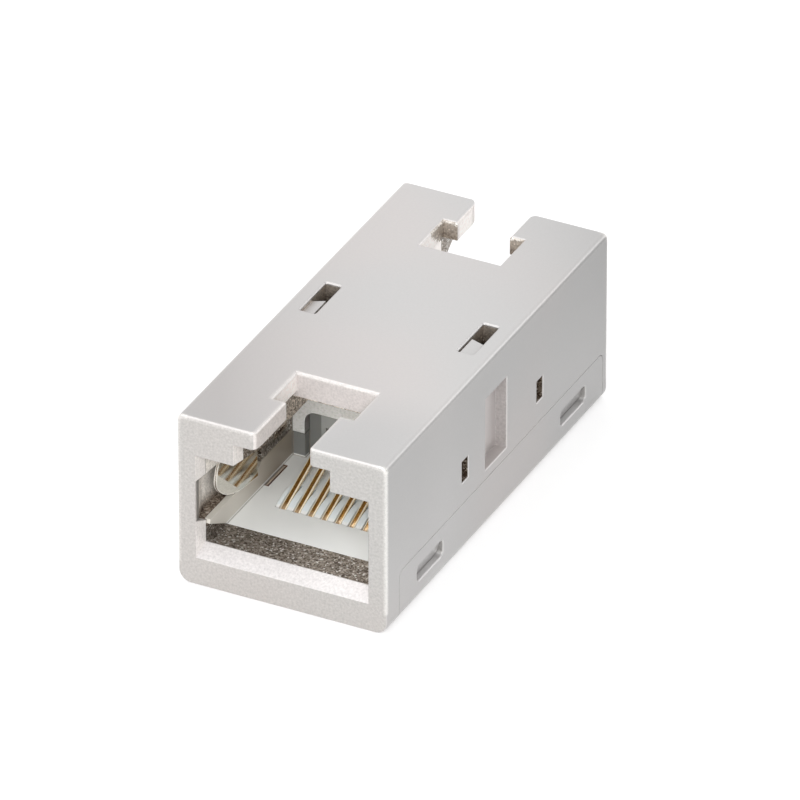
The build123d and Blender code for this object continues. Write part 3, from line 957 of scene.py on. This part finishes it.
def contact_row_tree(corner_steps: int = 3) -> bpy.types.NodeTree:
    """The node tree that gives a wire path its flat section and repeats it across a port.

    Args:
        corner_steps: The points of each rounded corner of the section.

    Returns:
        The tree. It takes the path as its geometry and has inputs for every size.
    """
    tree = bpy.data.node_groups.new("contact_row", "GeometryNodeTree")
    tree.is_modifier = True
    sockets = (("Geometry", "Geometry"), ("Count", "Int"), ("Pitch", "Float"), ("Width", "Float"),
               ("Thickness", "Float"), ("Corner", "Float"), ("Finish", "Material"))
    for name, kind in sockets:
        tree.interface.new_socket(name, in_out="INPUT", socket_type=f"NodeSocket{kind}")
    tree.interface.new_socket("Geometry", in_out="OUTPUT", socket_type="NodeSocketGeometry")
    graph = Graph(tree)
    size = graph.node("NodeGroupInput").outputs
    flat = graph.node("GeometryNodeCurvePrimitiveQuadrilateral", {"Width": size["Width"],
                                                                  "Height": size["Thickness"]})
    rounded = graph.node("GeometryNodeFilletCurve", {"Curve": flat.outputs[0], "Radius": size["Corner"],
                                                     "Limit Radius": True, "Count": corner_steps},
                         mode="POLY")
    turned = graph.node("GeometryNodeSetCurveNormal", {"Curve": size["Geometry"], "Normal": (1.0, 0.0, 0.0)},
                        mode="FREE")
    wire = graph.node("GeometryNodeCurveToMesh", {"Curve": turned.outputs[0],
                                                  "Profile Curve": rounded.outputs[0], "Fill Caps": True})
    step = graph.node("ShaderNodeCombineXYZ", {"X": size["Pitch"]})
    gaps = graph.math("SUBTRACT", size["Count"], 1.0)
    first = graph.both(gaps, size["Pitch"], -0.5)
    start = graph.node("ShaderNodeCombineXYZ", {"X": first})
    row = graph.node("GeometryNodeMeshLine", {"Count": size["Count"], "Start Location": start.outputs[0],
                                              "Offset": step.outputs[0]}, mode="OFFSET")
    copies = graph.node("GeometryNodeInstanceOnPoints", {"Points": row.outputs[0],
                                                         "Instance": wire.outputs[0]})
    solid = graph.node("GeometryNodeRealizeInstances", {"Geometry": copies.outputs[0]})
    finished = graph.node("GeometryNodeSetMaterial", {"Geometry": solid.outputs[0],
                                                      "Material": size["Finish"]})
    graph.node("NodeGroupOutput", {"Geometry": finished.outputs[0]})
    return tree


def add_object(name: str, data: bpy.types.ID) -> bpy.types.Object:
    """Add an object to the scene.

    Args:
        name: Its name.
        data: Its mesh, curve, light or camera.

    Returns:
        The object.
    """
    item = bpy.data.objects.new(name, data)
    bpy.context.scene.collection.objects.link(item)
    return item


def plain_mesh(piece: bpy.types.Object, smooth_angle: float) -> bpy.types.Object:
    """Turn what a piece's nodes make into a plain mesh object of the same name.

    Args:
        piece: The object with its Geometry Nodes modifier.
        smooth_angle: Edges sharper than this stay sharp, in degrees.

    Returns:
        The plain object, which takes the piece's place.
    """
    name = piece.name
    evaluated = piece.evaluated_get(bpy.context.evaluated_depsgraph_get())
    mesh = bpy.data.meshes.new_from_object(evaluated)
    bpy.data.objects.remove(piece)
    mesh.name = name
    mesh.shade_smooth()
    mesh.set_sharp_from_angle(angle=math.radians(smooth_angle))
    return add_object(name, mesh)


@dataclass
class ContactRow:
    """The eight sprung contacts of one port: a foot, a hairpin bend and a long rising spring."""

    port: Port
    tree: bpy.types.NodeTree
    count: int = 8
    pitch: float = 1.016 * MM
    width: float = 0.46 * MM
    thickness: float = 0.3 * MM
    corner: float = 0.1 * MM
    slope: float = 20.5
    bend_radius: float = 0.26 * MM
    foot_length: float = 3.2 * MM
    spring_end: float = 5.78 * MM
    tail_length: float = 1.6 * MM
    knee_radius: float = 0.6 * MM
    arc_steps: int = 10
    smooth_angle: float = 40.0

    def nodes(self) -> list[str]:
        """The CAD nodes of the row."""
        return [f"{self.port.label}_contact_{number}" for number in range(1, self.count + 1)]

    def arc(self, centre: tuple[float, float], radius: float, first: float,
            last: float) -> list[tuple[float, float]]:
        """Points of an arc.

        Args:
            centre: Its middle, as depth and height.
            radius: Its radius.
            first: The angle it starts at, in degrees.
            last: The angle it ends at.

        Returns:
            The points, both ends among them.
        """
        angles = [math.radians(first + (last - first) * step / self.arc_steps)
                  for step in range(self.arc_steps + 1)]
        return [(centre[0] + radius * math.cos(angle), centre[1] + radius * math.sin(angle))
                for angle in angles]

    def side_line(self) -> list[tuple[float, float]]:
        """The middle line of one contact from the side.

        Returns:
            Points as depth behind the bend's front and height above the board.
        """
        rise = math.radians(self.slope)
        half = self.thickness / 2
        bend = (half + self.bend_radius, half + self.bend_radius)
        hairpin = self.arc(bend, self.bend_radius, 270.0, 90.0 + self.slope)
        knee_height = hairpin[-1][1] + (self.spring_end - hairpin[-1][0]) * math.tan(rise)
        reach = self.knee_radius * math.tan(rise / 2)
        centre = (self.spring_end + reach, knee_height - self.knee_radius)
        knee = self.arc(centre, self.knee_radius, 90.0 + self.slope, 90.0)
        foot = (bend[0] + self.foot_length, half)
        tail = (self.spring_end + self.tail_length, knee_height)
        return [foot, *hairpin, *knee, tail]

    def build(self, finishes: FinishBook) -> None:
        """Make the row in place of its CAD nodes.

        Args:
            finishes: Every finish.
        """
        low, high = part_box(self.nodes()[0])
        front = low[1] if self.port is Port.FRONT else high[1]
        name = f"{self.port.label}_contact_row"
        data = bpy.data.curves.new(name, "CURVE")
        data.dimensions = "3D"
        line = self.side_line()
        spline = data.splines.new("POLY")
        spline.points.add(len(line) - 1)
        for point, (depth, height) in zip(spline.points, line):
            point.co = (0.0, front + self.port.value * depth, low[2] + height, 1.0)
        piece = add_object(name, data)
        sizes = {"Count": self.count, "Pitch": self.pitch, "Width": self.width,
                 "Thickness": self.thickness, "Corner": self.corner, "Finish": finishes.gold}
        modifier = piece.modifiers.new("row", "NODES")
        modifier.node_group = self.tree
        for item in self.tree.interface.items_tree:
            if item.in_out == "INPUT" and item.name in sizes:
                modifier[item.identifier] = sizes[item.name]
        row = plain_mesh(piece, self.smooth_angle)
        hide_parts(*self.nodes())
        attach(row, BODY)
        log.info("%s: %d contacts, %d faces", name, self.count, len(row.data.polygons))


@dataclass
class PlugPort:
    """One port: the carrier, its row of contacts and two ground springs."""

    port: Port
    tree: bpy.types.NodeTree

    def build(self, finishes: FinishBook) -> None:
        """Dress the carrier and the springs, and make the contacts.

        Args:
            finishes: Every finish.
        """
        dress(f"{self.port.label}_contact_carrier", finishes.plastic)
        for side in ("left", "right"):
            dress(f"{self.port.label}_ground_spring_{side}", finishes.bright)
        ContactRow(self.port, self.tree).build(finishes)


@dataclass
class BridgeBoard:
    """The circuit board between the two rows of contacts."""

    node: str = "circuit_board"

    def build(self, finishes: FinishBook) -> None:
        """Dress the board."""
        dress(self.node, finishes.laminate)


def aim(item: bpy.types.Object, azimuth: float, elevation: float, distance: float,
        target: Vector) -> None:
    """Place a camera or light round a point, looking at it.

    Args:
        item: The camera or light.
        azimuth: Its turn from the front to the right, in degrees.
        elevation: Its height over the level, in degrees.
        distance: Its distance from the point.
        target: The point.
    """
    turn, tilt = math.radians(azimuth), math.radians(elevation)
    back = Vector((math.sin(turn) * math.cos(tilt), -math.cos(turn) * math.cos(tilt), math.sin(tilt)))
    item.location = target + back * distance
    item.rotation_euler = back.to_track_quat("Z", "Y").to_euler()


@dataclass
class PortraitCamera:
    """A long lens at the photograph's angle, aimed at the middle of the coupler."""

    azimuth: float = 26.494
    elevation: float = 31.857
    distance: float = 0.88795
    focal_length: float = 599.6
    sensor_width: float = 36.0
    shift: Span = (0.0063, 0.0067)
    clip: Span = (0.05, 10.0)

    def build(self) -> None:
        """Make the camera the scene's own."""
        low, high = cad_box
        data = bpy.data.cameras.new("portrait_camera")
        data.sensor_width = self.sensor_width
        data.lens = self.focal_length
        data.shift_x, data.shift_y = self.shift
        data.clip_start, data.clip_end = self.clip
        camera = add_object("portrait_camera", data)
        aim(camera, self.azimuth, self.elevation, self.distance, (Vector(low) + Vector(high)) / 2)
        bpy.context.scene.camera = camera
        log.info("camera looks from azimuth %.1f, elevation %.1f", self.azimuth, self.elevation)


@dataclass
class SoftLight:
    """One large area light, aimed at the coupler."""

    name: str
    azimuth: float
    elevation: float
    distance: float
    size: float
    power: float

    def build(self) -> None:
        """Hang the light."""
        data = bpy.data.lights.new(self.name, "AREA")
        data.shape = "DISK"
        data.size = self.size
        data.energy = self.power
        light = add_object(self.name, data)
        aim(light, self.azimuth, self.elevation, self.distance, Vector(ORIGIN))


@dataclass
class WhiteStudio:
    """A light table, a white surround with a dark flag to the right, and soft lights."""

    floor_half: float = 1.5
    floor_colour: Colour = (0.70, 0.70, 0.70)
    floor_roughness: float = 0.9
    floor_glow: float = 0.36
    floor_drop: float = 0.02 * MM
    surround: float = 0.88
    flag: float = 0.5
    flag_azimuth: float = 100.0
    flag_edge: Span = (0.1, 0.9)
    lights: list[SoftLight] = field(default_factory=lambda: [
        SoftLight("key_light", azimuth=22.0, elevation=34.0, distance=0.6, size=0.35, power=1.9),
        SoftLight("top_light", azimuth=-98.0, elevation=67.0, distance=0.6, size=0.3, power=0.5),
        SoftLight("rim_light", azimuth=-36.0, elevation=50.0, distance=0.6, size=0.12, power=0.2),
        SoftLight("edge_light", azimuth=145.0, elevation=22.0, distance=0.6, size=0.16, power=0.25),
    ])

    def lay_floor(self) -> None:
        """Lay the light table: a plain pale floor with a faint glow of its own."""
        mesh = bpy.data.meshes.new("floor")
        half, low = self.floor_half, -self.floor_drop
        mesh.from_pydata([(-half, -half, low), (half, -half, low), (half, half, low), (-half, half, low)], [],
                         [(0, 1, 2, 3)])
        floor = add_object("floor", mesh)
        material, graph, _ = new_material("pale_floor")
        finish_surface(graph, {"Base Color": (*self.floor_colour, 1.0), "Roughness": self.floor_roughness,
                               "Emission Color": (*WHITE, 1.0), "Emission Strength": self.floor_glow})
        mesh.materials.append(material)

    def hang_surround(self) -> None:
        """Set the white surround, darker towards the flag."""
        world = bpy.data.worlds.new("white_surround")
        bpy.context.scene.world = world
        world.use_nodes = True
        graph = Graph(world.node_tree)
        turn = math.radians(self.flag_azimuth)
        way = graph.node("ShaderNodeTexCoord").outputs["Generated"]
        dot = graph.node("ShaderNodeVectorMath", {0: way, 1: (math.sin(turn), -math.cos(turn), 0.0)},
                         operation="DOT_PRODUCT").outputs["Value"]
        strength = graph.ramp(dot, *self.flag_edge, self.surround, self.flag)
        sky = graph.node("ShaderNodeBackground", {"Color": (*WHITE, 1.0), "Strength": strength})
        graph.node("ShaderNodeOutputWorld", {"Surface": sky.outputs[0]})

    def build(self) -> None:
        """Lay the floor and set the light."""
        self.lay_floor()
        self.hang_surround()
        for light in self.lights:
            light.build()
        bpy.context.scene.view_settings.view_transform = "Standard"


def main() -> None:
    """Build every class in order and report each piece."""
    logging.basicConfig(level=logging.INFO, format="%(name)s: %(message)s")
    PortraitCamera().build()
    WhiteStudio().build()
    finishes = FinishBook()
    MetalShell().build(finishes)
    tree = contact_row_tree()
    for port in Port:
        PlugPort(port, tree).build(finishes)
    BridgeBoard().build(finishes)


if __name__ == "__main__":
    main()
